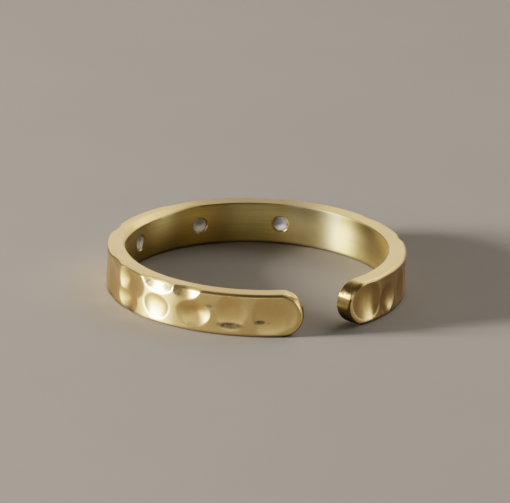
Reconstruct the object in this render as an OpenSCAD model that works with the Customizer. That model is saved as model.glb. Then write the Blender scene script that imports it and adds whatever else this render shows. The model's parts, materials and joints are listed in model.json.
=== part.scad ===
// Open finger ring with a hammered band and three small round stones set flush in its back.
// The ring lies on its side: the finger hole runs along Z and the lower rim rests on Z = 0.
// The middle stone faces +Y, and the rounded ends of the band meet near -Y.

/* [Finger hole] */
// Inside diameter
inner_d = 17.0; // [15:0.5:20]

/* [Band] */
// Thickness of the wall between the hammer marks
wall = 1.15; // [1.15:0.05:1.35]
// Width from the lower rim to the upper one
width = 2.8; // [2.6:0.05:3.4]
// Space between the two ends, measured at the finger hole
gap = 2.5; // [1.5:0.1:4]
// How far the space sits off the point opposite the middle stone, in degrees
gap_offset = 2.0; // [-4:0.5:4]
// Bevel along the outer edges
bevel = 0.12; // [0.06:0.02:0.16]

/* [Hammering] */
// Depth of the hammer marks against the usual depth
mark_depth = 1.0; // [0.8:0.1:1.2]

/* [Stones] */
// Diameter of a stone at its girdle
stone_d = 2.0; // [1.8:0.1:2.1]
// Diameter of the open hole under each stone
back_hole_d = 1.15; // [1.1:0.05:1.3]
// Angle round the ring from one stone to the next
stone_step = 36.5; // [35:0.5:39]

/* [Hidden] */

inner_r = inner_d / 2;
outer_r = inner_r + wall;
far = 2 * outer_r;

// Each end is a nose a little fuller than half a round, so it meets the rims at a slight corner.
end_r = 1.01 * width / 2;
end_turn = asin(gap / 2 / inner_r) + asin(end_r / inner_r);
gap_angle = 270 + gap_offset;
end_angles = [gap_angle + end_turn, gap_angle - end_turn];

// Hammer marks: a dome-faced hammer leaves part of a sphere in the round wall.
// Columns: angle round the ring, place across the band (-1 lower rim, 1 upper rim), width, depth.
MARKS = [
    [250.5, 0.00, 2.20, 0.13],
    [235.5, 0.00, 2.10, 0.14],
    [220.0, -0.14, 2.40, 0.18],
    [216.0, 1.30, 2.10, 0.28],
    [203.7, 1.50, 2.50, 0.33],
    [203.0, -0.16, 2.15, 0.19],
    [186.5, 0.05, 2.40, 0.19],
    [171.5, -0.05, 2.30, 0.16],
    [157.5, 0.14, 2.30, 0.16],
    [143.5, -0.05, 2.30, 0.15],
    [136.5, 1.36, 1.70, 0.18],
    [117.5, -1.30, 1.70, 0.18],
    [108.5, 0.10, 2.50, 0.17],
    [100.0, 1.43, 1.70, 0.18],
    [81.0, -1.30, 1.70, 0.18],
    [71.5, 0.05, 2.50, 0.17],
    [62.5, 1.43, 1.70, 0.18],
    [43.5, -1.30, 1.70, 0.18],
    [36.0, 0.08, 2.40, 0.16],
    [21.5, -0.05, 2.30, 0.15],
    [7.0, 0.10, 2.30, 0.17],
    [353.5, -0.10, 2.20, 0.15],
    [341.5, 0.08, 2.00, 0.16],
    [329.5, -0.04, 2.00, 0.17],
    [317.0, 0.00, 2.10, 0.18],
    [304.0, -0.10, 2.20, 0.19],
    [289.5, -0.05, 2.50, 0.19],
];

// Stones: a table, 8 star, 8 kite and 16 girdle facets above, 16 girdle and 8 main facets below,
// and a wide flat culet that nearly fills the back hole.
stone_r = stone_d / 2;
table_r = 0.58 * stone_r;
star_r = 0.77 * stone_r;
lower_r = 0.70 * stone_r;
culet_r = 0.46 * stone_r;
crown_h = 0.26 * stone_r;
girdle_h = 0.07 * stone_r;
table_rise = 0.04;
culet_rise = 0.06;
girdle_r = outer_r + table_rise - crown_h;
pavilion_h = girdle_r - girdle_h - inner_r - culet_rise;
star_h = crown_h * (stone_r - star_r * cos(22.5)) / (stone_r - table_r);
lower_h = pavilion_h * (stone_r - lower_r * cos(22.5)) / (stone_r - culet_r);
stone_angles = [90 + stone_step, 90, 90 - stone_step];

// Settings: the seat is a little wider than the stone, and the metal closes over its edge.
stone_gap = 0.03;
lip_cover = 0.07 * stone_r;

// The wall before hammering, its outer edges bevelled.
module ring_blank() {
    rotate_extrude($fn = 180)
        polygon([[inner_r, 0], [outer_r - bevel, 0], [outer_r, bevel],
                 [outer_r, width - bevel], [outer_r - bevel, width], [inner_r, width]]);
}

// All that lies between the two ends, the long way round, with a round nose at each end.
module long_way_round() {
    translate([0, 0, -1]) linear_extrude(far)
        difference() {
            circle(r = far, $fn = 96);
            polygon([[0, 0], for (a = [end_angles[1], gap_angle - 5, gap_angle + 5, end_angles[0]])
                     2 * far * [cos(a), sin(a)]]);
        }
    for (a = end_angles)
        rotate([0, 0, a]) translate([0, 0, width / 2]) rotate([0, 90, 0])
            cylinder(h = far, r = end_r, $fn = 96);
}

// One hammer mark. The wall curves away along the ring, so a mark is taller than it is wide.
module hammer_mark(angle, across, mark_w, depth) {
    sink = depth * mark_depth;
    face_r = 1 / (2 * sink / pow(mark_w / 2, 2) - 1 / outer_r);
    rotate([0, 0, angle]) translate([outer_r - sink + face_r, 0, (1 + across) * width / 2])
        sphere(r = face_r, $fn = 128);
}

// Puts something made along +Z, with its girdle at 0, at a stone's place, facing outwards.
module at_stone(angle) {
    rotate([0, 0, angle]) translate([girdle_r, 0, width / 2]) rotate([0, 90, 0])
        children();
}

// The hollow of one setting: mouth, seat, cone under the stone and open back hole.
module setting_hollow() {
    hole_r = back_hole_d / 2;
    seat_r = stone_r + stone_gap;
    mouth_r = stone_r - lip_cover;
    crown_slope = crown_h / (stone_r - table_r);
    seat_slope = (lower_h - stone_gap) / (seat_r - lower_r - 1.4 * stone_gap);
    rotate_extrude($fn = 72)
        polygon([
            [0, -wall],
            [hole_r, -wall],
            [hole_r, -girdle_h - stone_gap - seat_slope * (seat_r - hole_r)],
            [seat_r, -girdle_h - stone_gap],
            [seat_r, stone_gap],
            [mouth_r, stone_gap + crown_slope * (seat_r - mouth_r)],
            [mouth_r + 0.04, crown_h + table_rise + 0.1],
            [0, crown_h + table_rise + 0.1],
        ]);
}

// Takes away all above a facet that passes through the point at radius r and height h.
module cut_facet(azimuth, slope, r, h) {
    side = 4 * stone_r;
    rotate([0, 0, azimuth]) translate([r, 0, h]) rotate([0, slope, 0])
        translate([-side / 2, -side / 2, 0]) cube([side, side, side]);
}

// The crown's slopes, also used upside down for the pavilion.
module cut_round_of_facets(count, first, slope, r, h) {
    for (k = [0 : count - 1]) cut_facet(first + k * 360 / count, slope, r, h);
}

// A round cut stone with its girdle's upper edge at 0 and its table facing +Z.
module cut_stone() {
    girdle_flat = stone_r * cos(11.25);
    difference() {
        translate([0, 0, -girdle_h - pavilion_h])
            cylinder(h = pavilion_h + girdle_h + crown_h, r = stone_r, $fn = 96);
        cut_round_of_facets(8, 0, atan(crown_h / (stone_r - table_r)), stone_r, 0);
        cut_round_of_facets(8, 22.5, atan((crown_h - star_h) / (star_r - table_r * cos(22.5))),
                            star_r, star_h);
        cut_round_of_facets(16, 11.25, atan(star_h / (girdle_flat - star_r * cos(11.25))),
                            girdle_flat, 0);
        translate([0, 0, -girdle_h]) mirror([0, 0, 1]) {
            cut_round_of_facets(8, 0, atan(pavilion_h / (stone_r - culet_r)), stone_r, 0);
            cut_round_of_facets(16, 11.25, atan(lower_h / (girdle_flat - lower_r * cos(11.25))),
                                girdle_flat, 0);
        }
    }
}

module band() {
    color([0.80, 0.64, 0.38]) difference() {
        intersection() {
            ring_blank();
            long_way_round();
        }
        for (m = MARKS) hammer_mark(m[0], m[1], m[2], m[3]);
        for (a = stone_angles) at_stone(a) setting_hollow();
    }
}

module stone(place) {
    color([0.62, 0.66, 0.66]) at_stone(stone_angles[place]) cut_stone();
}

module stone_left() { stone(0); }
module stone_middle() { stone(1); }
module stone_right() { stone(2); }

band();
stone_left();
stone_middle();
stone_right();
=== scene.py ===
"""Dresses the packed solids of an open hammered ring with three small labradorite stones."""

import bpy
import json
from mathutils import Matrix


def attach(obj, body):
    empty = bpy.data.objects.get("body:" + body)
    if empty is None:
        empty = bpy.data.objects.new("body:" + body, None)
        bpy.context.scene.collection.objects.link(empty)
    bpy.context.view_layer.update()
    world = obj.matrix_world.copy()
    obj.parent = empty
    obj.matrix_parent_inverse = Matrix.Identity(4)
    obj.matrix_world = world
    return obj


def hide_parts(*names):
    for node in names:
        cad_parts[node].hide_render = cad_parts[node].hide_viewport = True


bl_info = {
    "name": "Hammered ring with labradorite",
    "version": (1, 0, 0),
    "blender": (4, 5, 0),
    "location": "3D Viewport > Sidebar > Ring",
    "description": "Makes the hammered band, finishes its stones and sets the stage",
    "category": "Object",
}

import json
import math
from functools import reduce

import bmesh
import bpy
from mathutils import Quaternion, Vector

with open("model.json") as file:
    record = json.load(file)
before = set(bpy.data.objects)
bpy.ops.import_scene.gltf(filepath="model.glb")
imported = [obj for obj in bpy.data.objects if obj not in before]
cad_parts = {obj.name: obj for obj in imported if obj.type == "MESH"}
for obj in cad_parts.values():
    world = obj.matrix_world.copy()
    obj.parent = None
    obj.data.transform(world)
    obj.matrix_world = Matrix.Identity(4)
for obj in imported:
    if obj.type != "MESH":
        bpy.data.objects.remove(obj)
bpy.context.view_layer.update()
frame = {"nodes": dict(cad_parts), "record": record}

MM = 0.001
HOLE = next(m for m in frame["record"]["mounts"] if m["name"] == "finger_hole")["dims"]

# Hammer marks, each an oval dish in the outer face.
# Columns: angle round the ring, height above the lower rim in mm, half width in degrees,
# half height in mm, depth in mm, how far its deepest point lies off its middle, as a share of
# the half width and of the half height, and its floor: 2 for a round one, more for a flatter one
# and less for a steeper one. A row without the last three is an even round dish.
MARKS = [
    # Left end, with a smaller mark inside a wide shallow one.
    (250.6, 1.38, 8.8, 1.24, 0.150, -0.35, 0.10, 2.2),
    (255.8, 1.30, 4.2, 0.80, 0.075, 0.00, 0.10, 2.4),
    (245.8, 0.98, 1.9, 0.24, 0.090),
    # Front, from the left end towards the left side.
    (234.6, 1.58, 6.2, 1.10, 0.200, -0.15, 0.10, 2.2),
    (234.1, 0.74, 4.8, 0.36, 0.090),
    (219.8, 1.22, 7.0, 0.85, 0.285, 0.06, 0.16, 1.5),
    (226.2, 1.88, 1.5, 0.16, 0.030),
    (202.7, 1.10, 6.4, 0.84, 0.165, -0.06, 0.16, 2.5),
    (203.5, 3.05, 8.4, 1.02, 0.300),
    (216.4, 2.98, 6.4, 0.96, 0.300, -0.12, 0.00, 1.6),
    # Left side.
    (188.0, 2.00, 8.5, 1.15, 0.265, -0.26, 0.00, 1.4),
    (185.6, 0.80, 6.7, 0.85, 0.265, 0.14, 0.00, 1.6),
    (170.4, 1.30, 8.0, 1.40, 0.210, 0.00, 0.00, 2.2),
    (174.6, 2.90, 5.4, 0.60, 0.140),
    # Back, between and round the stones.
    (158.0, 1.60, 7.6, 1.15, 0.160, 0.10, 0.00, 2.4),
    (144.0, 1.30, 7.4, 1.20, 0.150, -0.10, 0.10, 2.0),
    (136.5, 3.10, 5.6, 0.95, 0.170),
    (150.5, 0.00, 5.0, 0.70, 0.140),
    (117.5, -0.20, 5.8, 0.95, 0.170),
    (108.5, 1.52, 7.6, 1.15, 0.160, 0.10, -0.10, 2.4),
    (100.0, 3.25, 5.6, 0.90, 0.170),
    (81.0, -0.25, 5.6, 0.90, 0.170),
    (71.5, 1.45, 7.6, 1.20, 0.160, -0.15, 0.00, 2.2),
    (62.5, 3.20, 5.6, 0.90, 0.170),
    (43.5, -0.25, 5.8, 0.95, 0.170),
    (36.0, 1.50, 7.8, 1.15, 0.160, 0.10, 0.10, 2.4),
    # Right side.
    (21.5, 1.35, 7.4, 1.20, 0.150, 0.00, 0.15, 2.2),
    (13.5, 3.00, 4.6, 0.70, 0.140),
    (7.0, 1.50, 7.2, 1.15, 0.170, -0.10, 0.00, 2.0),
    (353.5, 1.25, 7.0, 1.15, 0.150, 0.00, 0.10, 2.4),
    (347.5, 2.95, 4.4, 0.60, 0.130),
    (341.5, 1.50, 6.4, 1.15, 0.160, 0.10, 0.00, 2.2),
    (329.5, 1.35, 6.6, 1.20, 0.170),
    # Front, from the right side to the right end.
    (315.8, 1.30, 4.8, 1.25, 0.180, -0.10, 0.00, 2.0),
    (304.2, 1.12, 5.7, 1.04, 0.275, -0.20, -0.05, 2.0),
    (290.8, 1.50, 8.2, 1.30, 0.290, 0.22, 0.12, 2.1),
]

# Dark spots on the outer face, duller than the gold round them.
# Columns: angle round the ring, height in mm, half width and half height in mm, strength.
DULL_SPOTS = [
    (234.3, 0.70, 0.86, 0.24, 1.00),
    (229.8, 0.74, 0.20, 0.13, 0.60),
    (245.5, 0.99, 0.40, 0.17, 0.95),
    (248.6, 0.93, 0.20, 0.07, 0.35),
    (219.6, 0.42, 0.62, 0.15, 0.50),
    (226.1, 1.86, 0.28, 0.13, 0.95),
    (198.4, 0.40, 0.26, 0.12, 0.35),
    (213.0, 2.48, 0.48, 0.36, 0.80),
    (198.8, 2.50, 0.44, 0.34, 1.00),
    (206.6, 2.54, 0.38, 0.26, 1.00),
]

# Painted highlights: pale patches painted into the backs of the stones, with the same columns.
PAINTED_HIGHLIGHTS = [
    (125.8, 1.32, 0.62, 0.60, 1.00),
    (89.0, 1.16, 0.50, 0.42, 1.00),
    (52.4, 1.04, 0.46, 0.38, 0.85),
]

# Painted shade: darker patches high in the backs of the stones, with the same columns.
STONE_SHADES = [
    (126.4, 1.66, 0.30, 0.27, 0.55),
    (89.9, 1.62, 0.36, 0.30, 0.60),
    (54.2, 1.60, 0.40, 0.32, 0.75),
]

# Stretches where the bevel along the outer edges is narrower.
# Columns: angle round the ring, half length in degrees, share taken off, flatness.
NARROW_BEVELS = [
    (300, 30, 0.25, 2),
    (170, 36, 0.65, 4),
]

# Soft lights round the ring. Each has its strength in the stage's settings.
# Columns: name, degrees to the right from the camera's side, elevation in degrees,
# distance, width and height in metres, colour.
LIGHTS = [
    ("left_light", -79, 12, 0.40, 0.08, 0.07, (1.00, 0.98, 0.95)),
    ("front_light", -14, 14, 0.40, 0.60, 0.10, (1.00, 0.98, 0.95)),
    ("back_light", 168, 24, 0.45, 0.68, 0.32, (1.00, 0.90, 0.77)),
    ("side_light", 132, 46, 0.45, 0.36, 0.26, (1.00, 0.96, 0.90)),
    ("right_light", 90, 7, 0.35, 0.10, 0.05, (1.00, 1.00, 1.00)),
]


class BandSizes(bpy.types.PropertyGroup):
    """Sizes of the hammered band."""
    inner_radius: bpy.props.FloatProperty(
        name="Inner radius", description="Radius of the finger hole",
        default=HOLE["r_mm"] * MM, unit="LENGTH", precision=5)
    width: bpy.props.FloatProperty(
        name="Width", description="From the lower rim to the upper one",
        default=HOLE["length_mm"] * MM, unit="LENGTH", precision=5)
    wall: bpy.props.FloatProperty(
        name="Wall", description="Thickness between the hammer marks",
        default=1.15 * MM, unit="LENGTH", precision=5)
    opening: bpy.props.FloatProperty(
        name="Opening", description="Direction in which the ring is open",
        default=math.radians(272.0), subtype="ANGLE")
    nose_turn: bpy.props.FloatProperty(
        name="Nose turn", description="From the middle of the opening to the middle of each round nose",
        default=math.radians(18.03), subtype="ANGLE")
    bevel: bpy.props.FloatProperty(
        name="Bevel", description="Bevel along the outer edges",
        default=0.14 * MM, unit="LENGTH", precision=5)
    crease: bpy.props.FloatProperty(
        name="Crease", description="How softly one hammer mark runs into the next",
        default=0.035 * MM, unit="LENGTH", precision=5)
    mark_depth: bpy.props.FloatProperty(
        name="Mark depth", description="Depth of the hammer marks against the usual depth",
        default=1.0, min=0.0, max=1.5)
    waviness: bpy.props.FloatProperty(
        name="Waviness", description="Unevenness that the hammering leaves between the marks",
        default=0.012 * MM, unit="LENGTH", precision=6)


class SettingSizes(bpy.types.PropertyGroup):
    """Sizes of the flush settings."""
    stone_radius: bpy.props.FloatProperty(
        name="Stone radius", description="Radius of a stone at its girdle",
        default=1.0 * MM, unit="LENGTH", precision=5)
    back_hole: bpy.props.FloatProperty(
        name="Back hole", description="Radius of the open hole under each stone",
        default=0.51 * MM, unit="LENGTH", precision=5)
    countersink: bpy.props.FloatProperty(
        name="Countersink", description="Width of the bevelled edge round each back hole",
        default=0.065 * MM, unit="LENGTH", precision=5)
    girdle: bpy.props.FloatProperty(
        name="Girdle", description="Distance of the girdles from the middle of the ring",
        default=9.43 * MM, unit="LENGTH", precision=5)
    step: bpy.props.FloatProperty(
        name="Step", description="Angle from one stone to the next",
        default=math.radians(36.5), subtype="ANGLE")


class RingFinish(bpy.types.PropertyGroup):
    """Colours of the gold plate and the stones."""
    gold: bpy.props.FloatVectorProperty(
        name="Gold", description="Colour of the gold plate on the outer face and rims",
        default=(0.80, 0.565, 0.255), subtype="COLOR", min=0.0, max=1.0)
    gold_inside: bpy.props.FloatVectorProperty(
        name="Gold inside", description="Colour of the gold plate in the finger hole",
        default=(0.70, 0.55, 0.235), subtype="COLOR", min=0.0, max=1.0)
    # The dark spots' colour, which also paints the contact shadow along the lower edges.
    dull: bpy.props.FloatVectorProperty(
        name="Dull spots", description="Colour of the dull spots in the plating",
        default=(0.18, 0.15, 0.105), subtype="COLOR", min=0.0, max=1.0)
    stone: bpy.props.FloatVectorProperty(
        name="Stone", description="Pale body colour of the labradorite",
        default=(0.62, 0.58, 0.52), subtype="COLOR", min=0.0, max=1.0)
    # A pale colour painted into the backs of the stones as highlights.
    painted_highlight: bpy.props.FloatVectorProperty(
        name="Milky", description="Colour of the milky patch in the back of each stone",
        default=(0.97, 0.91, 0.82), subtype="COLOR", min=0.0, max=1.0)
    flash: bpy.props.FloatVectorProperty(
        name="Flash", description="Colour that plays in the labradorite",
        default=(0.09, 0.29, 0.42), subtype="COLOR", min=0.0, max=1.0)


class StageSettings(bpy.types.PropertyGroup):
    """The floor, the soft lights and the camera."""
    floor: bpy.props.FloatVectorProperty(
        name="Floor", description="Colour of the plain floor",
        default=(0.37, 0.34, 0.305), subtype="COLOR", min=0.0, max=1.0)
    left_light: bpy.props.FloatProperty(
        name="Left light", description="Strength of the softbox on the left",
        default=230.0, min=0.0)
    front_light: bpy.props.FloatProperty(
        name="Front light", description="Strength of the wide softbox in front",
        default=2.0, min=0.0)
    back_light: bpy.props.FloatProperty(
        name="Back light", description="Strength of the wide softbox behind the ring",
        default=1.06, min=0.0)
    side_light: bpy.props.FloatProperty(
        name="Side light", description="Strength of the softbox behind the ring on the right",
        default=1.7, min=0.0)
    right_light: bpy.props.FloatProperty(
        name="Right light", description="Strength of the softbox on the right",
        default=8.0, min=0.0)
    room: bpy.props.FloatProperty(
        name="Room", description="Brightness of the room round the stage",
        default=0.055, min=0.0)
    azimuth: bpy.props.FloatProperty(
        name="Camera azimuth", description="Direction of the camera round the ring",
        default=math.radians(-26.5), subtype="ANGLE")
    elevation: bpy.props.FloatProperty(
        name="Camera elevation", description="Angle of the camera above the floor",
        default=math.radians(19.23), subtype="ANGLE")
    roll: bpy.props.FloatProperty(
        name="Camera roll", description="Turn of the camera about its own line of sight",
        default=math.radians(1.55), subtype="ANGLE")
    distance: bpy.props.FloatProperty(
        name="Camera distance", description="From the camera to the middle of the upper rim",
        default=0.32207, unit="LENGTH")
    lens: bpy.props.FloatProperty(
        name="Lens", description="Focal length on a sensor 36 mm wide",
        default=352.94, unit="CAMERA")
    aim: bpy.props.FloatVectorProperty(
        name="Aim", description="Place of the upper rim's middle, right of and above the picture's",
        default=(0.10951 * MM, 0.40581 * MM), size=2, unit="LENGTH", precision=5)


def add_node(tree, kind, inputs=None, **settings):
    """A new node with its settings, and its inputs as sockets to link or values."""
    node = tree.nodes.new(kind)
    for name, value in settings.items():
        setattr(node, name, value)
    for key, value in (inputs or {}).items():
        by_name = (s for s in node.inputs if s.name == key and s.enabled)
        socket = node.inputs[key] if isinstance(key, int) else next(by_name)
        if isinstance(value, bpy.types.NodeSocket):
            tree.links.new(value, socket)
        else:
            socket.default_value = value
    return node


def out(node, name=None):
    """The node's first live output, or the live one of that name."""
    return next(s for s in node.outputs if s.enabled and name in (None, s.name))


def calc(tree, operation, *values):
    """The result of a Math node."""
    return out(add_node(tree, "ShaderNodeMath", dict(enumerate(values)), operation=operation))


def in_turn(tree, operation, values):
    """The result of Math nodes in a row, each with one more of the values."""
    return reduce(lambda result, value: calc(tree, operation, result, value), values)


def product(tree, *values):
    """All the values multiplied."""
    return in_turn(tree, "MULTIPLY", values)


def total(tree, *values):
    """All the values added."""
    return in_turn(tree, "ADD", values)


def most(tree, *values):
    """The largest of the values."""
    return in_turn(tree, "MAXIMUM", values)


def new_group(name, kind, inputs, result, result_kind):
    """A node group with inputs listed by kind, and the outputs of its input node."""
    tree = bpy.data.node_groups.new(name, kind)
    for socket, labels in inputs.items():
        for label in labels:
            tree.interface.new_socket(label, in_out="INPUT", socket_type="NodeSocket" + socket)
    tree.interface.new_socket(result, in_out="OUTPUT", socket_type="NodeSocket" + result_kind)
    return tree, tree.nodes.new("NodeGroupInput").outputs


def rest_of(tree, share):
    """What a share leaves of 1."""
    return calc(tree, "SUBTRACT", 1.0, share)


def vector_calc(tree, operation, *values, result="Vector"):
    """The result of a Vector Math node."""
    node = add_node(tree, "ShaderNodeVectorMath", dict(enumerate(values)), operation=operation)
    return out(node, result)


def length(tree, vector):
    """The length of a vector."""
    return vector_calc(tree, "LENGTH", vector, result="Value")


def join_vector(tree, **parts):
    """A vector from its X, Y and Z. Those that aren't given are 0."""
    return out(add_node(tree, "ShaderNodeCombineXYZ", parts))


def on_circle(tree, radius, turn, height):
    """The place at a distance from the ring's axis, a turn round it and a height."""
    return join_vector(tree, X=product(tree, radius, calc(tree, "COSINE", turn)),
                       Y=product(tree, radius, calc(tree, "SINE", turn)), Z=height)


def noise(tree, vector, scale, detail=3.0, stretch=None):
    """A noise, with its scale in waves for each unit of length."""
    if stretch:
        vector = out(add_node(tree, "ShaderNodeMapping", {"Vector": vector, "Scale": stretch}))
    return out(add_node(tree, "ShaderNodeTexNoise", {
        "Vector": vector, "Scale": scale, "Detail": detail}), "Fac")


def ramp(tree, value, low, high, to_low=0.0, to_high=1.0):
    """A smooth step between two values."""
    return out(add_node(tree, "ShaderNodeMapRange", {
        "Value": value, "From Min": low, "From Max": high, "To Min": to_low, "To Max": to_high},
        interpolation_type="SMOOTHSTEP"))


def put_in_scene(name, data):
    """A new object in the scene."""
    made = bpy.data.objects.new(name, data)
    bpy.context.scene.collection.objects.link(made)
    return made


def finished_mesh(bm, name):
    """The new mesh that a bmesh is made into."""
    mesh = bpy.data.meshes.new(name)
    bm.to_mesh(mesh)
    bm.free()
    return mesh


def smooth_bump(angle, middle, half, flatness=2):
    """1 at the middle angle, easing to 0 at half degrees from it. A high flatness makes its top flat."""
    off = abs((angle - middle + 180.0) % 360.0 - 180.0) / half
    return 0.0 if off >= 1.0 else (1.0 - off ** flatness) ** 2


def bar_outline(half_run, steps_run, steps_nose):
    """The upper half of the bar's outline: places along its middle line, with the way out from each."""
    nose = [math.pi / 2 * k / steps_nose for k in range(1, steps_nose + 1)]
    outline = [(-half_run, -math.sin(turn), math.cos(turn)) for turn in reversed(nose)]
    outline += [(-half_run + 2 * half_run * k / steps_run, 0.0, 1.0) for k in range(steps_run + 1)]
    outline += [(half_run, math.sin(turn), math.cos(turn)) for turn in nose]
    return outline


def eased(across, along, flatness, steps=7):
    """A curve between two faces, by its distances from both: round for a flatness of 1, flat for 2."""
    return [(across * (1 - math.sin(turn) ** flatness), along * (1 - math.cos(turn) ** flatness))
            for turn in (math.pi / 2 * k / steps for k in range(steps + 1))]


def edge_profile(sizes, angle, from_top, on_left_nose):
    """The edge from the outer face over the rim to the inner face, as (thickness, inset) in mm.

    The angle is round the ring, and from_top is 0 degrees on the upper rim and 180 on the lower one."""
    wall, cut = sizes.wall / MM, sizes.bevel / MM
    cut *= 1.0 - sum(share * smooth_bump(angle, middle, half, flatness)
                     for middle, half, share, flatness in NARROW_BEVELS)
    # On the curve of the left nose it is wider.
    if on_left_nose:
        cut += 0.13 * smooth_bump(from_top, 52, 62)
    # The inner edge is crisp above and soft below, and worn wide above at the back on the left.
    lower_share = from_top / 180.0
    worn = smooth_bump(angle, 125, 44, 3) * (1.0 - lower_share)
    ease_in = 0.03 + 0.13 * lower_share + 0.52 * worn
    ease_down = 0.03 + 0.17 * lower_share + 0.25 * worn
    bevel_flatness, inner_flatness, steps_rim = 1.75, 1.0 + 0.6 * worn, 4
    bevel = [(wall - down, inset) for inset, down in eased(cut, cut, bevel_flatness)]
    rim = [(wall - cut + (ease_in + cut - wall) * k / steps_rim, 0.0) for k in range(1, steps_rim)]
    return bevel + rim + eased(ease_in, ease_down, inner_flatness)


def make_bar(sizes, half_run):
    """The straight bar, in mm, before it is hammered and bent: X is its thickness and Y runs along it."""
    half = sizes.width / MM / 2
    mid_radius = (sizes.inner_radius + sizes.wall / 2) / MM
    opposite = math.degrees(sizes.opening) - 180.0
    rows_outer, rows_inner, steps_run, steps_nose = 40, 18, 570, 26
    outline = bar_outline(half_run, steps_run, steps_nose)
    bm = bmesh.new()

    def edge(along, out_y, out_z, side):
        """The vertices of the bar's upper edge, for side 1, or of its lower one, for side -1."""
        from_top = math.degrees(math.asin(abs(out_y)))
        profile = edge_profile(sizes, opposite + math.degrees(along / mid_radius),
                               from_top if side > 0 else 180.0 - from_top, out_y > 0)
        return [bm.verts.new((thick, along + (half - inset) * out_y, side * (half - inset) * out_z))
                for thick, inset in profile]

    def rows_between(first, last, rows):
        """The vertices of the rows between two others."""
        return [bm.verts.new(first.co.lerp(last.co, k / rows)) for k in range(1, rows)]

    # Each column is a loop round the bar. At the two tips the lower edge is the upper one.
    columns = []
    for i, place in enumerate(outline):
        upper = edge(*place, 1)
        if i in (0, len(outline) - 1):
            columns.append(upper)
            continue
        lower = edge(*place, -1)
        inner_rows = rows_between(upper[-1], lower[-1], rows_inner)
        outer_rows = rows_between(lower[0], upper[0], rows_outer)
        columns.append(upper + inner_rows + lower[::-1] + outer_rows)

    count, edge_count = len(columns[1]), len(columns[0])
    lower_start = edge_count + rows_inner - 1
    lower_end = lower_start + edge_count

    def vertex(column, k):
        """A column's k-th vertex, where a tip's single edge stands for the whole loop."""
        loop = columns[column]
        k %= count
        if len(loop) == count or k < edge_count:
            return loop[k]
        if k < lower_start:
            return loop[-1]
        return loop[lower_end - 1 - k] if k < lower_end else loop[0]

    for i in range(len(columns) - 1):
        for k in range(count):
            around = (vertex(i, k), vertex(i + 1, k), vertex(i + 1, k + 1), vertex(i, k + 1))
            corners = list(dict.fromkeys(around))
            if len(corners) > 2:
                bm.faces.new(corners)
    bmesh.ops.recalc_face_normals(bm, faces=bm.faces)
    return finished_mesh(bm, "bar")


def make_marks(sizes):
    """A mesh of points, one for each hammer mark, in the bar's own millimetres."""
    mid_radius = (sizes.inner_radius + sizes.wall / 2) / MM
    opposite = math.degrees(sizes.opening) - 180.0
    places, half_sizes, leans, depths, floors = [], [], [], [], []
    for angle, height, half_width, half_height, depth, *shape in MARKS:
        lean_round, lean_up, floor = shape or (0.0, 0.0, 2.0)
        turn = (angle - opposite + 180.0) % 360.0 - 180.0
        places.append((0.0, math.radians(turn) * mid_radius, height - sizes.width / MM / 2))
        half_sizes.extend((1.0, math.radians(half_width) * mid_radius, half_height))
        leans.extend((0.0, lean_round, lean_up))
        depths.append(depth)
        floors.append(floor)
    mesh = bpy.data.meshes.new("marks")
    mesh.from_pydata(places, [], [])
    for name, values in (("half_size", half_sizes), ("lean", leans)):
        mesh.attributes.new(name, "FLOAT_VECTOR", "POINT").data.foreach_set("vector", values)
    for name, values in (("depth", depths), ("floor", floors)):
        mesh.attributes.new(name, "FLOAT", "POINT").data.foreach_set("value", values)
    return mesh


def make_setting(settings):
    """What one setting takes out of the band, in mm. The stone's girdle is at 0, its table towards +Z."""
    stone, hole = settings.stone_radius / MM, settings.back_hole / MM
    sink, to_hole = settings.countersink / MM, settings.girdle / MM - HOLE["r_mm"]
    # The cut of the stone, in shares of its radius, and how far its culet keeps off the finger hole.
    table, lower_edge, culet, crown, girdle = 0.58, 0.70, 0.46, 0.26, 0.07
    culet_rise, half_facet = 0.06, math.radians(22.5)
    pavilion = to_hole - girdle * stone - culet_rise
    lower = pavilion * (1 - lower_edge * math.cos(half_facet)) / (1 - culet)
    # The seat keeps clear of the stone, the lip closes over its edge, and the cut goes on past the wall.
    room, lip, beyond = 0.03, 0.07 * stone, 0.4
    seat, mouth, knee = stone + room, stone - lip, lower_edge * stone + 1.4 * room
    lip_top = room + crown / (1 - table) * (seat - mouth)
    # The mouth's edge is softened, then opens wide above the face.
    soften_out, soften_up, open_out, open_up = 0.02, 0.03, 0.16, 0.24
    profile = [
        (0.0, -to_hole - beyond),
        (hole + sink + beyond, -to_hole - beyond),
        (hole, -to_hole + sink),
        (knee, -girdle * stone - lower),
        (seat, -girdle * stone - room),
        (seat, room),
        (mouth, lip_top),
        (mouth + soften_out, lip_top + soften_up),
        (mouth + open_out, lip_top + open_up),
        (0.0, lip_top + open_up),
    ]
    bm = bmesh.new()
    ring = [bm.verts.new((r, 0.0, z)) for r, z in profile]
    edges = [bm.edges.new(pair) for pair in zip(ring, ring[1:])]
    bmesh.ops.spin(bm, geom=ring + edges, axis=(0, 0, 1), angle=2 * math.pi, steps=72)
    bmesh.ops.remove_doubles(bm, verts=bm.verts, dist=1e-5)
    bmesh.ops.recalc_face_normals(bm, faces=bm.faces)
    return finished_mesh(bm, "setting")


def attribute(tree, name, kind="FLOAT"):
    """A named attribute of the mesh."""
    return out(add_node(tree, "GeometryNodeInputNamedAttribute", {"Name": name}, data_type=kind))


def with_surface(tree, geometry, value):
    """The mesh with the height of its outer face over its inner one stored on it."""
    return out(add_node(tree, "GeometryNodeStoreNamedAttribute", {
        "Geometry": geometry, "Name": "surface", "Value": value}, data_type="FLOAT", domain="POINT"))


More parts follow.
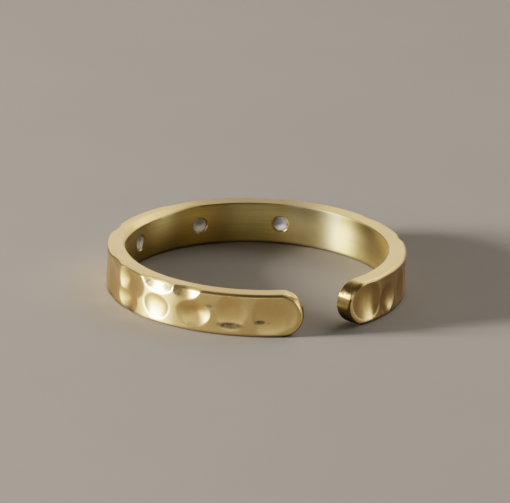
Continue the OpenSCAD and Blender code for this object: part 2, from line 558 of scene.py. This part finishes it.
def hammered(tree, given, position, bar):
    """The bar with its surface lowered to the dish of each hammer mark in turn."""
    marks = out(add_node(tree, "GeometryNodeObjectInfo", {"Object": given["Marks"]}), "Geometry")
    count = add_node(tree, "GeometryNodeAttributeDomainSize", {"Geometry": marks}, component="MESH")
    begin = tree.nodes.new("GeometryNodeRepeatInput")
    end = tree.nodes.new("GeometryNodeRepeatOutput")
    begin.pair_with_output(end)
    tree.links.new(out(count, "Point Count"), begin.inputs["Iterations"])
    tree.links.new(bar, begin.inputs["Geometry"])

    def of_mark(value, kind="FLOAT"):
        """A value of the mark whose turn it is."""
        return out(add_node(tree, "GeometryNodeSampleIndex", {
            "Geometry": marks, "Value": value, "Index": begin.outputs["Iteration"]},
            data_type=kind, domain="POINT"))

    vector = "FLOAT_VECTOR"
    half_size = of_mark(attribute(tree, "half_size", vector), vector)
    lean = of_mark(attribute(tree, "lean", vector), vector)
    depth = product(tree, of_mark(attribute(tree, "depth")), given["Mark Depth"])
    from_middle = vector_calc(tree, "SUBTRACT", position, of_mark(position, vector))
    flat = vector_calc(tree, "MULTIPLY", from_middle, (0.0, 1.0, 1.0))
    off = vector_calc(tree, "SUBTRACT", vector_calc(tree, "DIVIDE", flat, half_size), lean)
    towards_lean = vector_calc(tree, "MULTIPLY", lean, vector_calc(tree, "SIGN", off))
    side_room = vector_calc(tree, "SUBTRACT", (1.0, 1.0, 1.0), towards_lean)
    share = length(tree, vector_calc(tree, "DIVIDE", off, side_room))
    rise = calc(tree, "POWER", share, of_mark(attribute(tree, "floor")))
    dish = calc(tree, "SUBTRACT", given["Wall"], product(tree, depth, rest_of(tree, rise)))
    lowered = calc(tree, "SMOOTH_MIN", attribute(tree, "surface"), dish, given["Crease"])
    tree.links.new(with_surface(tree, begin.outputs["Geometry"], lowered), end.inputs["Geometry"])
    return end.outputs["Geometry"]


def bent_round(tree, given, position, bar):
    """The bar bent round. Its noses keep the shape that a straight cut gives them."""
    flat = add_node(tree, "ShaderNodeSeparateXYZ", {"Vector": position}).outputs
    thick = calc(tree, "DIVIDE", product(tree, flat["X"], attribute(tree, "surface")), given["Wall"])
    radius = total(tree, given["Inner Radius"], thick)
    mid_radius = total(tree, given["Inner Radius"], product(tree, given["Wall"], 0.5))
    on_run = most(tree, calc(tree, "MINIMUM", flat["Y"], given["Half Run"]),
                  product(tree, given["Half Run"], -1.0))
    past_run = calc(tree, "SUBTRACT", flat["Y"], on_run)
    in_nose = calc(tree, "ARCSINE", calc(tree, "DIVIDE", past_run, radius))
    turn = total(tree, calc(tree, "DIVIDE", on_run, mid_radius), in_nose, given["Opposite"])
    height = total(tree, flat["Z"], product(tree, given["Width"], 0.5))
    return out(add_node(tree, "GeometryNodeSetPosition", {
        "Geometry": bar, "Position": on_circle(tree, radius, turn, height)}))


def placed_settings(tree, given):
    """What the three settings take out, each at its stone's place, as one mesh."""
    points = add_node(tree, "GeometryNodePoints", {"Count": 3})
    from_middle = rest_of(tree, out(add_node(tree, "GeometryNodeInputIndex")))
    turn = total(tree, math.pi / 2, product(tree, given["Stone Step"], from_middle))
    place = on_circle(tree, given["Girdle"], turn, product(tree, given["Width"], 0.5))
    placed = add_node(tree, "GeometryNodeSetPosition", {"Geometry": out(points), "Position": place})
    setting = add_node(tree, "GeometryNodeObjectInfo", {"Object": given["Setting"]})
    settings = add_node(tree, "GeometryNodeInstanceOnPoints", {
        "Points": out(placed), "Instance": out(setting, "Geometry"),
        "Rotation": join_vector(tree, Y=math.pi / 2, Z=turn)})
    return out(add_node(tree, "GeometryNodeRealizeInstances", {"Geometry": out(settings)}))


def hammer_and_bend_tree():
    """Hammers the bar, bends it round and cuts the settings. Its sizes are in millimetres and radians."""
    tree, given = new_group("hammer and bend", "GeometryNodeTree", {
        "Geometry": ("Geometry",), "Object": ("Marks", "Setting"),
        "Float": ("Inner Radius", "Wall", "Width", "Half Run", "Opposite", "Crease",
                  "Mark Depth", "Waviness", "Girdle", "Stone Step"),
        "Material": ("Finish",)}, "Geometry", "Geometry")
    position = out(add_node(tree, "GeometryNodeInputPosition"))

    # The surface starts a little uneven, close under the wall's thickness.
    noise_top = 0.75
    uneven = calc(tree, "SUBTRACT", noise(tree, position, 0.75, 2.0), noise_top)
    start = total(tree, given["Wall"], product(tree, uneven, given["Waviness"]))
    bar = hammered(tree, given, position, with_surface(tree, given["Geometry"], start))
    cut = add_node(tree, "GeometryNodeMeshBoolean", {
        "Mesh 1": bent_round(tree, given, position, bar), "Mesh 2": placed_settings(tree, given)},
        operation="DIFFERENCE", solver="EXACT")
    sized = add_node(tree, "GeometryNodeTransform", {"Geometry": out(cut, "Mesh"), "Scale": (MM, MM, MM)})
    real = add_node(tree, "GeometryNodeRealizeInstances", {"Geometry": out(sized)})
    done = add_node(tree, "GeometryNodeSetMaterial", {"Geometry": out(real), "Material": given["Finish"]})
    tree.links.new(out(done), tree.nodes.new("NodeGroupOutput").inputs["Geometry"])
    return tree


def through_tree(mesh, tree, values):
    """The mesh that a Geometry Nodes tree makes of another, given the tree's inputs by name."""
    helper = put_in_scene("helper", mesh)
    modifier = helper.modifiers.new("made", "NODES")
    modifier.node_group = tree
    for item in tree.interface.items_tree:
        if item.in_out == "INPUT" and item.name in values:
            modifier[item.identifier] = values[item.name]
    graph = bpy.context.evaluated_depsgraph_get()
    made = bpy.data.meshes.new_from_object(helper.evaluated_get(graph), depsgraph=graph)
    helper.modifiers.clear()
    bpy.data.objects.remove(helper)
    return made


def drop_slivers(mesh):
    """Takes out faces without area and edges without length, which a cut can leave."""
    bm = bmesh.new()
    bm.from_mesh(mesh)
    bmesh.ops.dissolve_degenerate(bm, dist=0.0002 * MM, edges=bm.edges)
    bm.to_mesh(mesh)
    bm.free()


def new_material(name):
    """An empty node material with its Principled shader and the Object coordinates."""
    material = bpy.data.materials.new(name)
    material.use_nodes = True
    tree = material.node_tree
    shader = next(n for n in tree.nodes if n.type == "BSDF_PRINCIPLED")
    coordinates = add_node(tree, "ShaderNodeTexCoord").outputs["Object"]
    return material, tree, shader, coordinates


def mix_colour(tree, share, first, second, blend="MIX"):
    """A mix of two colours."""
    first, second = (colour if isinstance(colour, bpy.types.NodeSocket) else (*colour[:3], 1.0)
                     for colour in (first, second))
    return out(add_node(tree, "ShaderNodeMix", {"Factor": share, "A": first, "B": second},
                        data_type="RGBA", blend_type=blend))


def layered(tree, colour, layers):
    """A colour with layers over it, from the lowest up, each as (share that it covers, its colour)."""
    for share, layer in layers:
        colour = mix_colour(tree, share, colour, layer)
    return colour


def scaled(colour, *shares):
    """A colour with its red, green and blue multiplied."""
    return tuple(part * share for part, share in zip(colour, shares))


def spot_group():
    """A node group that marks one oval spot: 1 inside, fading to 0."""
    tree, given = new_group("spot", "ShaderNodeTree", {
        "Vector": ("Vector", "Place", "Turn", "Size"), "Float": ("Strength",)}, "Share", "Float")
    inside = add_node(tree, "ShaderNodeMapping", {
        "Vector": given["Vector"], "Location": given["Place"], "Rotation": given["Turn"],
        "Scale": given["Size"]}, vector_type="TEXTURE")
    share = product(tree, ramp(tree, length(tree, out(inside)), 1.15, 0.55), given["Strength"])
    tree.links.new(share, tree.nodes.new("NodeGroupOutput").inputs["Share"])
    return tree


def spots_at(tree, place, radius, table):
    """The union of a table's oval spots, on the face at a radius."""
    group, spots, half_thickness = spot_group(), [], 0.5
    for angle, height, half_width, half_height, strength in table:
        turn = math.radians(angle)
        spots.append(out(add_node(tree, "ShaderNodeGroup", {
            "Vector": place, "Turn": (0.0, 0.0, turn), "Strength": strength,
            "Place": (radius * math.cos(turn), radius * math.sin(turn), height * MM),
            "Size": (half_thickness * MM, half_width * MM, half_height * MM)}, node_tree=group)))
    return most(tree, *spots)


def round_the_ring(tree, place):
    """A place's distance from the ring's axis, its direction from it and its height."""
    flat = add_node(tree, "ShaderNodeSeparateXYZ", {"Vector": place}).outputs
    around = join_vector(tree, X=flat["X"], Y=flat["Y"])
    return length(tree, around), vector_calc(tree, "NORMALIZE", around), flat["Z"]


def facing(tree, direction, angle, near, far):
    """1 within near degrees of an angle round the ring, fading to 0 at far degrees from it."""
    turn = math.radians(angle)
    middle = (math.cos(turn), math.sin(turn), 0.0)
    dot = vector_calc(tree, "DOT_PRODUCT", direction, middle, result="Value")
    return ramp(tree, dot, math.cos(math.radians(far)), math.cos(math.radians(near)))


def off_spoke(tree, place, angle, height):
    """Distance from the line that runs out from the ring's axis at an angle and a height."""
    spoke = (math.cos(angle), math.sin(angle), 0.0)
    raised = vector_calc(tree, "SUBTRACT", place, (0.0, 0.0, height))
    return length(tree, vector_calc(tree, "CROSS_PRODUCT", raised, spoke))


class GoldPlate:
    """The look of the gold plate. Its areas are shares: 1 where the area is and 0 elsewhere."""

    def __init__(self, tree, place, sizes):
        self.tree, self.place = tree, place
        inner, outer, half = sizes.inner_radius, sizes.inner_radius + sizes.wall, sizes.width / 2
        radius, self.direction, self.height = round_the_ring(tree, place)
        self.inside = ramp(tree, radius, inner + 0.06 * MM, inner + 0.005 * MM)
        self.outside = rest_of(tree, self.inside)
        from_middle = calc(tree, "ABSOLUTE", calc(tree, "SUBTRACT", self.height, half))
        self.off_rims = ramp(tree, from_middle, half - 0.02 * MM, half - 0.12 * MM)
        # Painted shade: the hollows of the hammer marks are coloured a little browner.
        deep = ramp(tree, radius, outer - 0.03 * MM, outer - 0.19 * MM)
        self.hollow_shade = product(tree, deep, self.off_rims, self.outside)

        # The curved ends of the two noses, matte in their lower half, where shade is also painted, and
        # pitted except where they begin.
        opening, nose_turn = math.degrees(sizes.opening), math.degrees(sizes.nose_turn)
        curves = []
        for side in (-1, 1):
            off = off_spoke(tree, place, sizes.opening + side * sizes.nose_turn, half)
            off_curve = calc(tree, "ABSOLUTE", calc(tree, "SUBTRACT", off, half))
            curves.append(ramp(tree, off_curve, 0.10 * MM, 0.05 * MM))
        ends = product(tree, most(tree, *curves), self.towards(opening, nose_turn - 0.2, nose_turn))
        # The lower half of the ends is rougher, and painted shade darkens it.
        self.matte = product(tree, ends, self.rising(2.05, 1.85))
        self.pitted = product(tree, ends, self.towards(opening, nose_turn - 6, nose_turn - 0.5))

        # Painted shade on the inner face at the back, darker towards the bottom.
        self.inner_back_shade = product(tree, self.inside, self.towards(96, 28, 56))
        # Painted shade on the rounded upper edge of the inner face.
        self.brim = product(tree, self.inside, self.rising(2.68, 2.78))
        self.rubbed = product(tree, self.inside, self.towards(opening, 57, 76))
        speckle = ramp(tree, noise(tree, place, 4200.0, 2.0), 0.36, 0.64, 1.0, 0.65)
        self.spots = product(tree, spots_at(tree, place, outer, DULL_SPOTS), speckle)
        self.cloud = noise(tree, place, 420.0, 2.0)
        self.grain = noise(tree, place, 9000.0, 2.0)
        self.brushed = noise(tree, place, 2600.0, 3.0, (0.12, 0.12, 9.0))

    def towards(self, angle, near, far):
        """The stretch round the ring that is near an angle, and ends far from it."""
        return facing(self.tree, self.direction, angle, near, far)

    def rising(self, low, high, to_low=0.0, to_high=1.0):
        """A smooth step between two heights in mm."""
        return ramp(self.tree, self.height, low * MM, high * MM, to_low, to_high)

    def shade(self):
        """How clouds, grain and the brushed lines of the inner face lighten or darken the gold."""
        tree = self.tree
        lines = calc(tree, "SUBTRACT", ramp(tree, self.brushed, 0.3, 0.7, 0.85, 1.08), 1.0)
        return product(tree, ramp(tree, self.cloud, 0.3, 0.7, 0.93, 1.04),
                       ramp(tree, self.grain, 0.25, 0.75, 0.97, 1.03),
                       total(tree, product(tree, lines, self.inside), 1.0))

    def outer_layers(self, finish):
        """Painted contact shadow along the lower edges, dark spots, painted shade in the lower half of
        the ends, and painted shade on the right and on the back's rim.
        """
        tree = self.tree
        # Painted contact shadow: darker along the lower edge, inside and out.
        contact_shadow = product(tree, self.rising(0.30, 0.08), 0.75)
        # Painted shade on the right of the outer face and on the back's rim.
        right = product(tree, self.towards(328, 20, 45), self.off_rims, 0.55)
        rims = calc(tree, "SUBTRACT", 0.72, self.off_rims)
        back_rim_shade = product(tree, self.towards(66, 10, 36), rims)
        darker = product(tree, most(tree, right, back_rim_shade), self.outside)
        return [
            (contact_shadow, finish.dull),
            (self.spots, finish.dull),
            # Painted shade in the lower half of the ends.
            (product(tree, self.matte, 0.94), scaled(finish.gold_inside, 0.15, 0.14, 0.11)),
            (darker, scaled(finish.gold, 0.34, 0.34, 0.34)),
        ]

    def inner_layers(self, finish):
        """Painted shade on the inner face at the back, at the top, on the right and round the bright
        stretch, painted light beside it, and where it is rubbed.
        """
        tree, gold, inside = self.tree, finish.gold_inside, self.inside
        # The painted shade at the back grows darker towards the bottom.
        lower = self.rising(2.6, 0.4)
        inner_back_shade = mix_colour(tree, lower, scaled(gold, 0.48, 0.51, 0.58), scaled(gold, 0.26, 0.24, 0.10))
        inner_back_shade_share = product(tree, self.inner_back_shade, total(tree, product(tree, lower, 0.36), 0.42))
        # Painted shade at the top of the inner face and on its right.
        upper = product(tree, inside, self.rising(2.1, 2.75), 0.34)
        right = product(tree, inside, self.towards(10, 14, 30), self.rising(0.3, 1.3, 0.2), 0.62)
        # Painted shade that tones down the bright stretch of the inner face.
        band_shade = product(tree, inside, self.towards(27, 10, 24), 0.45)
        # Painted shade on the upper part of the bright stretch.
        dark_above = product(tree, inside, self.towards(27, 13, 32), self.rising(1.5, 2.6), 0.85)
        # Painted light beside the bright stretch.
        pale = product(tree, inside, self.towards(38, 5, 16), 0.30)
        painted_light_gold, rubbed_gold = (0.92, 0.78, 0.54), (0.66, 0.55, 0.33)
        return [
            (inner_back_shade_share, inner_back_shade),
            (most(tree, upper, right), scaled(gold, 0.50, 0.46, 0.60)),
            (band_shade, scaled(gold, 0.72, 0.68, 0.62)),
            (dark_above, scaled(gold, 0.26, 0.25, 0.24)),
            # Painted shade on the rounded upper edge.
            (product(tree, self.brim, 0.7), scaled(gold, 0.36, 0.36, 0.36)),
            (pale, painted_light_gold),
            (product(tree, self.rubbed, 0.40), rubbed_gold),
        ]

    def colour(self, finish):
        """Gold with painted shade in the hollows, a little browner there, shaded by clouds and grain,
        under layers of painted shade and light, dark spots and wear.
        """
        tree, shade = self.tree, self.shade()
        plain = layered(tree, finish.gold, [
            # Painted shade in the hollows.
            (self.hollow_shade, scaled(finish.gold, 0.90, 0.84, 0.78)),
            (self.inside, finish.gold_inside),
        ])
        grey = add_node(tree, "ShaderNodeCombineColor", dict.fromkeys(("Red", "Green", "Blue"), shade))
        shaded = mix_colour(tree, 1.0, plain, out(grey), "MULTIPLY")
        return layered(tree, shaded, self.outer_layers(finish) + self.inner_layers(finish))

    def roughness(self):
        """Satin, and rougher in the areas that are dull or worn."""
        tree = self.tree
        dull = most(tree, self.spots, product(tree, self.matte, 0.9))
        satin = ramp(tree, self.cloud, 0.3, 0.7, 0.30, 0.35)
        rougher = [(dull, 0.28), (self.matte, 0.15), (self.rubbed, 0.30), (self.inner_back_shade, 0.08),
                   (self.brim, 0.35), (self.inside, 0.03)]
        return total(tree, satin, *(product(tree, area, more) for area, more in rougher))

    def bump(self):
        """Fine grain, brushed lines that are strongest inside, and pits in the curved ends."""
        tree = self.tree
        lines = product(tree, self.brushed, total(tree, product(tree, self.inside, 0.75), 0.25))
        pits = calc(tree, "SUBTRACT", noise(tree, self.place, 3600.0), 0.5)
        height = total(tree, product(tree, self.grain, 0.35), lines, product(tree, pits, self.pitted, 18))
        return out(add_node(tree, "ShaderNodeBump", {
            "Height": height, "Strength": 0.25, "Distance": 0.01 * MM}))


def gold_material(finish, sizes):
    """Satin gold plate: hammered outside, brushed along the ring inside, with a few dull spots and
    painted shade and light.
    """
    material, tree, shader, place = new_material("gold_plate")
    plate = GoldPlate(tree, place, sizes)
    tree.links.new(plate.colour(finish), shader.inputs["Base Color"])
    tree.links.new(plate.roughness(), shader.inputs["Roughness"])
    tree.links.new(plate.bump(), shader.inputs["Normal"])
    tangent = add_node(tree, "ShaderNodeTangent", direction_type="RADIAL", axis="Z")
    tree.links.new(out(tangent), shader.inputs["Tangent"])
    shader.inputs["Metallic"].default_value = 1.0
    shader.inputs["Anisotropic"].default_value = 0.76
    shader.inputs["Anisotropic Rotation"].default_value = 0.25
    return material


def labradorite_material(finish, sizes, settings):
    """Pale grey labradorite, slightly clear, with bands of blue and green play near its table, and
    painted shade and highlights in its back.
    """
    material, tree, shader, place = new_material("labradorite")
    inner, outer = sizes.inner_radius, sizes.inner_radius + sizes.wall
    radius, direction, _ = round_the_ring(tree, place)
    cloud = noise(tree, place, 900.0, 3.0)
    bands = noise(tree, place, 1500.0, 2.0, (1.0, 1.0, 3.2))
    crown = ramp(tree, radius, outer - 0.32 * MM, outer - 0.18 * MM)
    back = ramp(tree, radius, inner + 0.12 * MM, inner + 0.08 * MM)
    # Painted shade on the right stone.
    right = facing(tree, direction, 90 - math.degrees(settings.step), 12, 20)
    green, right_stone_shade, stone_shade = (0.20, 0.36, 0.20), (0.22, 0.215, 0.22), (0.20, 0.195, 0.20)
    play = mix_colour(tree, ramp(tree, noise(tree, place, 700.0, 1.0), 0.4, 0.6), finish.flash, green)
    colour = layered(tree, finish.stone, [
        (ramp(tree, cloud, 0.35, 0.65), scaled(finish.stone, 0.86, 0.89, 0.93)),
        (product(tree, right, 0.75), right_stone_shade),
        # Painted highlights in the stones' backs.
        (spots_at(tree, place, inner, PAINTED_HIGHLIGHTS), finish.painted_highlight),
        # Painted shade high in the stones' backs.
        (spots_at(tree, place, inner, STONE_SHADES), stone_shade),
        (crown, scaled(finish.stone, 0.24, 0.27, 0.30)),
        (product(tree, ramp(tree, bands, 0.44, 0.60), crown, 0.75), play),
    ])
    tree.links.new(colour, shader.inputs["Base Color"])
    rough = total(tree, ramp(tree, cloud, 0.3, 0.7, 0.06, 0.12), product(tree, back, 0.08))
    tree.links.new(rough, shader.inputs["Roughness"])
    # The flat backs are shaded as if they curved more and more towards the edges of the holes.
    off = [off_spoke(tree, place, math.pi / 2 + side * settings.step, sizes.width / 2)
           for side in (-1, 0, 1)]
    share = calc(tree, "DIVIDE", in_turn(tree, "MINIMUM", off), settings.back_hole)
    bump = add_node(tree, "ShaderNodeBump", {
        "Height": product(tree, share, share, back), "Strength": 1.0, "Distance": 0.14 * MM})
    tree.links.new(out(bump), shader.inputs["Normal"])
    shader.inputs["IOR"].default_value = 1.56
    shader.inputs["Transmission Weight"].default_value = 0.10
    shader.inputs["Subsurface Weight"].default_value = 0.9
    shader.inputs["Subsurface Radius"].default_value = (1.0, 0.95, 0.88)
    shader.inputs["Subsurface Scale"].default_value = 0.6 * MM
    return material


def floor_material(stage):
    """A plain pale matte floor with the faintest mottle."""
    material, tree, shader, place = new_material("floor")
    mottle = ramp(tree, noise(tree, place, 60.0, 4.0), 0.3, 0.7)
    darker = scaled(stage.floor, 0.97, 0.97, 0.97)
    tree.links.new(mix_colour(tree, mottle, darker, stage.floor), shader.inputs["Base Color"])
    shader.inputs["Roughness"].default_value = 0.9
    shader.inputs["Specular IOR Level"].default_value = 0.1
    return material


def from_camera_side(stage, turn, elevation):
    """The direction from the ring to a place, turned to the right from the camera's side."""
    around, up = stage.azimuth + math.radians(turn), math.radians(elevation)
    return Vector((math.sin(around) * math.cos(up), -math.cos(around) * math.cos(up), math.sin(up)))


def softbox(stage, name, turn, elevation, distance, width, height, colour):
    """A soft light that faces the ring. Its strength is the brightness of its face."""
    data = bpy.data.lights.new(name, "AREA")
    data.shape = "RECTANGLE"
    data.size, data.size_y = width, height
    data.energy = getattr(stage, name) * math.pi * width * height
    data.color = colour
    light = put_in_scene(name, data)
    away = from_camera_side(stage, turn, elevation)
    light.location = away * distance + Vector((0, 0, 0.002))
    light.rotation_mode = "QUATERNION"
    light.rotation_quaternion = (-away).to_track_quat("-Z", "Y")


class RING_OT_band(bpy.types.Operator):
    """Make the hammered band with its three settings"""
    bl_idname = "ring.band"
    bl_label = "Make the band"

    def execute(self, context):
        sizes, settings = context.scene.ring_band, context.scene.ring_settings
        wall, inner = sizes.wall / MM, sizes.inner_radius / MM
        half_run = (math.pi - sizes.nose_turn) * (inner + wall / 2)
        marks = put_in_scene("marks", make_marks(sizes))
        setting = put_in_scene("setting", make_setting(settings))
        mesh = through_tree(make_bar(sizes, half_run), hammer_and_bend_tree(), {
            "Marks": marks, "Setting": setting, "Inner Radius": inner, "Wall": wall,
            "Width": sizes.width / MM, "Half Run": half_run, "Opposite": sizes.opening - math.pi,
            "Crease": sizes.crease / MM, "Mark Depth": sizes.mark_depth, "Waviness": sizes.waviness / MM,
            "Girdle": settings.girdle / MM, "Stone Step": settings.step,
            "Finish": gold_material(context.scene.ring_finish, sizes)})
        for helper in (marks, setting):
            bpy.data.objects.remove(helper)
        if not mesh.polygons:
            raise RuntimeError("the band came out empty")
        drop_slivers(mesh)
        mesh.shade_smooth()
        mesh.set_sharp_from_angle(angle=math.radians(38))
        mesh.attributes.remove(mesh.attributes["surface"])
        band = put_in_scene("hammered_band", mesh)
        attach(band, "root")
        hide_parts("band")
        return {"FINISHED"}


class RING_OT_stones(bpy.types.Operator):
    """Finish the three stones as pale labradorite"""
    bl_idname = "ring.stones"
    bl_label = "Finish the stones"

    def execute(self, context):
        scene = context.scene
        material = labradorite_material(scene.ring_finish, scene.ring_band, scene.ring_settings)
        for name in ("stone_left", "stone_middle", "stone_right"):
            stone = frame["nodes"][name]
            stone.data.materials.clear()
            stone.data.materials.append(material)
        return {"FINISHED"}


class RING_OT_stage(bpy.types.Operator):
    """Set up the floor, the soft lights and the camera"""
    bl_idname = "ring.stage"
    bl_label = "Set the stage"

    def execute(self, context):
        scene, stage = context.scene, context.scene.ring_stage
        half = 1.5
        mesh = bpy.data.meshes.new("floor")
        mesh.from_pydata([(-half, -half, 0), (half, -half, 0), (half, half, 0), (-half, half, 0)],
                         [], [(0, 1, 2, 3)])
        mesh.materials.append(floor_material(stage))
        put_in_scene("floor", mesh)

        for row in LIGHTS:
            softbox(stage, *row)

        world = bpy.data.worlds.new("room")
        world.use_nodes = True
        background = next(n for n in world.node_tree.nodes if n.type == "BACKGROUND")
        background.inputs["Color"].default_value = (1.0, 0.98, 0.95, 1.0)
        background.inputs["Strength"].default_value = stage.room
        scene.world = world
        scene.view_settings.view_transform = "Filmic"
        scene.view_settings.look = "Medium High Contrast"

        data = bpy.data.cameras.new("camera")
        data.lens, data.sensor_width = stage.lens, 36.0
        data.clip_start, data.clip_end = 0.01, 10.0
        camera = put_in_scene("camera", data)
        target = Vector((0, 0, scene.ring_band.width))
        away = from_camera_side(stage, 0, math.degrees(stage.elevation))
        camera.location = target + away * stage.distance
        level = (-away).to_track_quat("-Z", "Y")
        aim = target - level @ Vector((stage.aim[0], stage.aim[1], 0))
        camera.rotation_mode = "QUATERNION"
        camera.rotation_quaternion = ((aim - camera.location).to_track_quat("-Z", "Y")
                                      @ Quaternion((0, 0, 1), stage.roll))
        scene.camera = camera
        return {"FINISHED"}


class RING_PT_sidebar(bpy.types.Panel):
    """Lists the ring's sizes, colours and steps"""
    bl_idname = "RING_PT_sidebar"
    bl_label = "Hammered ring"
    bl_space_type = "VIEW_3D"
    bl_region_type = "UI"
    bl_category = "Ring"

    def draw(self, context):
        for name, group in GROUPS.items():
            box = self.layout.box()
            box.label(text=group.__doc__)
            for key in group.__annotations__:
                box.prop(getattr(context.scene, name), key)
        for operator in OPERATORS:
            self.layout.operator(operator.bl_idname)


GROUPS = {"ring_band": BandSizes, "ring_settings": SettingSizes,
          "ring_finish": RingFinish, "ring_stage": StageSettings}
OPERATORS = (RING_OT_band, RING_OT_stones, RING_OT_stage)


def register():
    for kind in (*GROUPS.values(), *OPERATORS, RING_PT_sidebar):
        bpy.utils.register_class(kind)
    for name, group in GROUPS.items():
        setattr(bpy.types.Scene, name, bpy.props.PointerProperty(type=group))


def unregister():
    for name in GROUPS:
        delattr(bpy.types.Scene, name)
    for kind in reversed((*GROUPS.values(), *OPERATORS, RING_PT_sidebar)):
        bpy.utils.unregister_class(kind)


def main():
    register()
    bpy.ops.ring.band()
    bpy.ops.ring.stones()
    bpy.ops.ring.stage()


if __name__ == "__main__":
    main()
